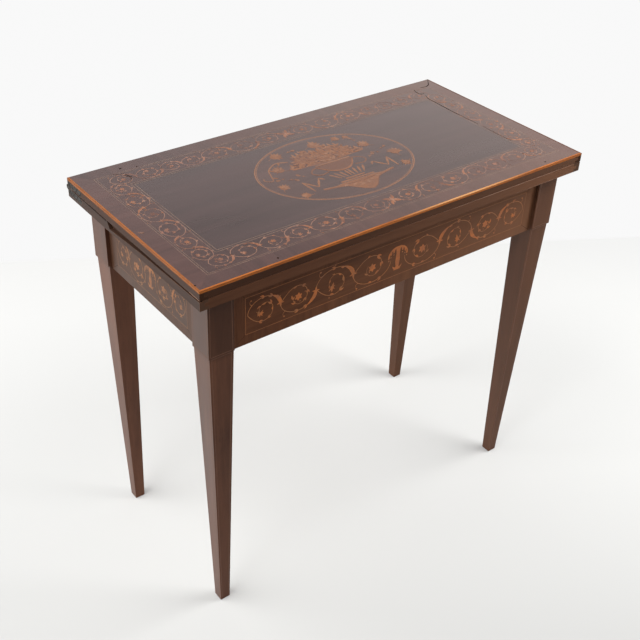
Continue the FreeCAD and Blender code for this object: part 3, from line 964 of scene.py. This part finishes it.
def rail_panel(name, origin, along, half_span, loops, seed, banding_veneer, inlay_material, style):
    half_x = half_span / MM
    banding, mitres, lines, panel = (Inlay(origin, along, (0, 0, 1)) for _ in range(4))
    inner = corners(half_x - rail_end_margin, panel_half_h)
    rise = 1j * (rail_top_margin - rail_low_margin) / 2
    outer = [p + rise for p in corners(half_x, (rail_high.z - rail_low.z) / MM / 2)]
    mitred_frame(banding, outer, inner)
    banding.build("rail_banding_" + name, banding_veneer, "frame", "rail_veneer")
    for a, b in zip(outer, inner):
        line_piece(mitres, a, b, mitre_w, 0.5)
    mitres.build("rail_mitres_" + name, dark_marks_and_shadow, "frame")
    frame_lines(lines, half_x - rail_end_margin, panel_half_h, panel_line_w)
    lines.build("rail_lines_" + name, inlay_material, "frame")
    if loops:
        half_length = half_x - rail_end_margin - scroll_end_gap
        scroll_band(panel, random.Random(seed), half_length, panel_half_h - scroll_edge_gap, loops, style)
        panel.build("rail_scrolls_" + name, inlay_material, "frame")


for name, panel_values in rail_panels.items():
    rail_panel(name, *panel_values)

# Stringing of the legs, along both sides of each outward face and across it at the step, in millimetres
line_inset = 4.5
line_w = 0.8
foot_inset_share = 0.7
block_gap = 2.0
block_low_gap = 3.0
shaft_gap = 3.5
shaft_low_gap = 6.0

# Inner and outer places of a leg along X and Y, in metres from the middle of the table
foot_z = 0.0015
foot_reach = 0.01
near = 0.0001
leg_points = [v.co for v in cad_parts["leg_front_right"].data.vertices]
step_z = min(p.z for p in leg_points if p.x > leg_high.x - near)
step_x = max(p.x for p in leg_points if abs(p.z - step_z) <= near and p.x < leg_high.x - near)
step_in = leg_high.x - step_x
foot = [[abs(p[axis]) for p in leg_points if foot_z - near <= p.z <= foot_reach] for axis in (0, 1)]
foot_spans = [(min(places), max(places)) for places in foot]
block_spans = ((leg_low.x, leg_high.x), (-leg_high.y, -leg_low.y))
shaft_spans = [(inner, outer - step_in) for inner, outer in block_spans]
block_cross = (leg_high.z - step_z) / MM - block_low_gap
leg_parts = (
    ("block", (block_spans, leg_high.z), (block_spans, step_z), (block_gap, block_low_gap, block_cross)),
    ("shaft", (shaft_spans, step_z), (foot_spans, foot_z), (shaft_gap, shaft_low_gap, shaft_gap)),
)


def leg_face(signs, axis, top_level, low_level):
    """An inlay on the face of a leg that looks along an axis, and its corners in its own plane."""
    beside = 1 - axis
    order = signs[0] * signs[1] * (1 - 2 * axis)
    ends = []
    for spans, z in (top_level, low_level):
        for side in spans[beside][::order]:
            end = Vector((0, 0, z))
            end[axis] = spans[axis][1] * signs[axis]
            end[beside] = side * signs[beside]
            ends.append(end)
    top_left, top_right, low_left, low_right = ends
    along = (top_right - top_left).normalized()
    middle = (low_left + low_right) / 2 - (top_left + top_right) / 2
    across = -(middle - along * middle.dot(along)).normalized()
    offsets = [(end - top_left) / MM for end in ends]
    return Inlay(top_left, along, across), [complex(o.dot(along), o.dot(across)) for o in offsets]


def side_lines(inlay, places, top_gap, low_gap, cross_gap):
    """Two lines down the sides of a face and one across it."""
    top_l, top_r, low_l, low_r = places
    for top, low, side in ((top_l, low_l, 1), (top_r, low_r, -1)):
        inset = side * line_inset
        foot = low + inset * foot_inset_share + 1j * low_gap
        line_piece(inlay, top + inset - 1j * top_gap, foot, line_w, 0.6)
    level = -1j * cross_gap
    line_piece(inlay, top_l + line_inset + level, top_r - line_inset + level, line_w, 0.6)


def leg_lines(name, axis):
    signs = [1 if word in name else -1 for word in ("right", "back")]
    for part, top_level, low_level, gaps in leg_parts:
        face, places = leg_face(signs, axis, top_level, low_level)
        side_lines(face, places, *gaps)
        face.build("%s_%s_lines_%s" % (name, part, "xy"[axis]), leg_inlay, "frame")


for name in legs:
    for axis in (0, 1):
        leg_lines(name, axis)

# Wear of the top: cracks with their width, dents with their radius, and a scratch
top_cracks = (
    ([(417, 211), (401, 191), (390, 185), (374, 187)], 2.2),
    ([(354, 185), (349, 168), (352, 160), (360, 160)], 2.2),
    ([(356, 151), (349, 137), (347, 86), (346, 56), (347, -12)], 1.8),
    ([(347, -24), (346, -60), (347, -104)], 0.9),
    ([(-348, 182), (-333, 174), (-326, 156), (-335, 144)], 1.1),
    ([(-336, 168), (-329, 160), (-330, 150)], 1.6),
)
top_dents = ((-328, 195, 2.2), (-271, -201, 1.8), (-416, -196, 1.4), (333, -201, 1.6), (-300, 186, 1.2))
scratch_points = [(-410, -16), (-406, -21), (-402, -22)]
scratch_w = 2.4

# Marks on the leaves, in millimetres: the painted shadow in the gap at the left end, a painted highlight on
# the worn arris at its front corner, and painted highlights along the arrises of the front
gap_points = [(-198, -0.6), (-150, -0.9), (-74, -1.3)]
gap_halves = [0.3, 0.9, 1.3]
corner_points = [(186, 1.9), (200, 1.8), (213, 1.7)]
corner_w = 1.5
arris_inset = 0.9
upper_arris = (92, 200, 300, 402)
upper_arris_w = 0.9
under_arris = (250, 330, 398)
under_arris_w = 0.7


def crack(inlay, points, width):
    """A tapering mark, used for cracks, the scratch and painted highlights."""
    widths = [width / 2 * (0.35 + 0.65 * sin(pi * s)) for s in shares(len(points))]
    inlay.strip([complex(*p) for p in points], widths, 0.3, crack_lift)


def wear_top():
    marks = top_face()
    for points, width in top_cracks:
        crack(marks, points, width)
    for x, y, radius in top_dents:
        disc(marks, complex(x, y), radius, 0.3, crack_lift)
    marks.build("top_cracks", dark_marks_and_shadow, "upper_leaf", "border_veneer")
    scratch = top_face()
    crack(scratch, scratch_points, scratch_w)
    scratch.build("top_scratch", pale_wear_and_highlight, "upper_leaf", "border_veneer")


def edge_shadow_and_highlights():
    """The painted shadow in the gap and the painted highlight on the worn corner of the left side, and
    painted highlights on the arrises of the front.
    """
    left_side = (-half_w, 0, meet_z), (0, -1, 0), (0, 0, 1)
    # Painted shadow in the gap between the leaves at the left end
    gap = Inlay(*left_side)
    gap.strip([complex(*p) for p in gap_points], gap_halves, 0.2)
    gap.build("left_seam_shadow", dark_marks_and_shadow, "lower_leaf", "leaf_wood")
    # Painted highlight on the worn arris at the front corner of the left side
    corner = Inlay(*left_side)
    crack(corner, corner_points, corner_w)
    corner.build("left_arris_highlight", pale_wear_and_highlight, "upper_leaf", "leaf_wood")
    # Painted highlights along the top and bottom arrises of the lower leaf at the front
    front = Inlay((0, -half_d, 0), (1, 0, 0), (0, 0, 1))
    crack(front, [(x, meet_z / MM - arris_inset) for x in upper_arris], upper_arris_w)
    crack(front, [(x, under_z / MM + arris_inset) for x in under_arris], under_arris_w)
    front.build("front_arris_highlights", pale_wear_and_highlight, "lower_leaf", "leaf_wood")


wear_top()
edge_shadow_and_highlights()

# Floor and backdrop: greys, the darker one painted shade on the floor nearer the camera, places in metres,
# and how much the floor glows
floor_size = 30.0
floor_grey = (0.68, 0.68, 0.665)
front_shade_grey = (0.50, 0.50, 0.489)
front_shade_span = (-1.7, -1.0)
glow_span = (-2.3, -0.3)
front_glow = 0.05
back_glow = 0.92
glow_share = 0.3
backdrop_white = 0.945
floor_fade = (1.15, 1.9)
wall_point = Vector((-0.233, 1.209, 0))
wall_normal = Vector((0.493, 0.870, 0))
wall_blur = 0.01

# Studio light: bright towards the backdrop, dim on the camera's side and overhead
bright_way = Vector((0.35, 0.85, 0.2)).normalized()
bright_side = 1.65
dim_side = 0.15
side_span = (-0.6, 0.7)
high_share = 0.15
high_span = (0.33, 0.55)
light_target = Vector((0, 0, 0.5))


def floor_material():
    """A pale floor with a little glow, darker nearer the camera as painted shade, white beyond the line where
    the backdrop stands.
    """
    material, tree, shader = new_material("pale_floor", 0.9, 0.1)
    place = object_place(tree)
    beyond = maths(tree, "SUBTRACT", dot(tree, place, wall_normal), wall_point.dot(wall_normal))
    away = add(tree, "VectorMath", {0: place}, operation="LENGTH").outputs["Value"]
    # Painted shade: the floor's colour is darker nearer the camera
    colour = overlay(tree, front_shade_grey, floor_grey, beyond, *front_shade_span)
    tree.links.new(colour, shader.inputs["Base Color"])
    line = remap(tree, beyond, -wall_blur, wall_blur)
    wall = maths(tree, "MAXIMUM", line, remap(tree, away, *floor_fade))
    rays = add(tree, "LightPath").outputs
    seen = maths(tree, "MAXIMUM", rays["Is Camera Ray"], rays["Is Glossy Ray"])
    factor = maths(tree, "MULTIPLY", remap(tree, wall, 0.0, 1.0, glow_share, 1.0), seen)
    near_glow = remap(tree, beyond, *glow_span, front_glow, back_glow)
    strength = add(tree, "Mix", {0: wall, 2: near_glow, 3: backdrop_white}).outputs[0]
    glow = add(tree, "Emission", {"Color": (1, 1, 1, 1), "Strength": strength}).outputs[0]
    blend = add(tree, "MixShader", {0: factor, 1: shader.outputs[0], 2: glow})
    output = next(n for n in tree.nodes if n.type == "OUTPUT_MATERIAL")
    tree.links.new(blend.outputs[0], output.inputs["Surface"])
    return material


def make_floor():
    half = floor_size / 2
    mesh = bpy.data.meshes.new("floor")
    mesh.from_pydata([(p.real, p.imag, 0) for p in corners(half, half)], [], [(0, 1, 2, 3)])
    mesh.materials.append(floor_material())
    new_object("floor", mesh)


def make_world():
    """A studio, bright towards the backdrop, and white where it is seen."""
    world = bpy.data.worlds.new("studio")
    scene.world = world
    world.use_nodes = True
    tree = world.node_tree
    background = tree.nodes["Background"]
    background.inputs["Color"].default_value = (1, 1, 1, 1)
    way = add(tree, "TexCoord").outputs["Generated"]
    side_light = remap(tree, dot(tree, way, bright_way), *side_span, dim_side, bright_side)
    height = add(tree, "SeparateXYZ", {0: way}).outputs["Z"]
    light = maths(tree, "MULTIPLY", side_light, remap(tree, height, *high_span, 1.0, high_share))
    camera_ray = add(tree, "LightPath").outputs["Is Camera Ray"]
    strength = add(tree, "Mix", {0: camera_ray, 2: light, 3: backdrop_white}).outputs[0]
    tree.links.new(strength, background.inputs["Strength"])


def soft_light(name, azimuth, elevation, distance, size, power):
    """A square soft light that looks at the middle of the table."""
    a, e = radians(azimuth), radians(elevation)
    away = Vector((cos(a) * cos(e), sin(a) * cos(e), sin(e)))
    lamp = bpy.data.lights.new(name, "AREA")
    lamp.size = size
    lamp.energy = power
    light = new_object(name, lamp)
    light.visible_glossy = False
    light.location = light_target + away * distance
    light.rotation_euler = away.to_track_quat("Z", "Y").to_euler()


def make_camera():
    aim = Matrix.Rotation(camera_azimuth, 4, "Z") @ Matrix.Rotation(pi / 2 - camera_elevation, 4, "X")
    data = bpy.data.cameras.new("camera")
    data.sensor_width = sensor_mm
    data.lens = focal_px / image_px * sensor_mm
    scene.camera = new_object("camera", data)
    scene.camera.matrix_world = Matrix.Translation(camera_place) @ aim @ Matrix.Rotation(camera_roll, 4, "Z")


make_world()
make_floor()
soft_light("left_softbox", azimuth=172, elevation=42, distance=2.6, size=3.0, power=134)
soft_light("right_softbox", azimuth=-32, elevation=40, distance=1.9, size=1.2, power=44)
make_camera()
scene.view_settings.view_transform = "Standard"
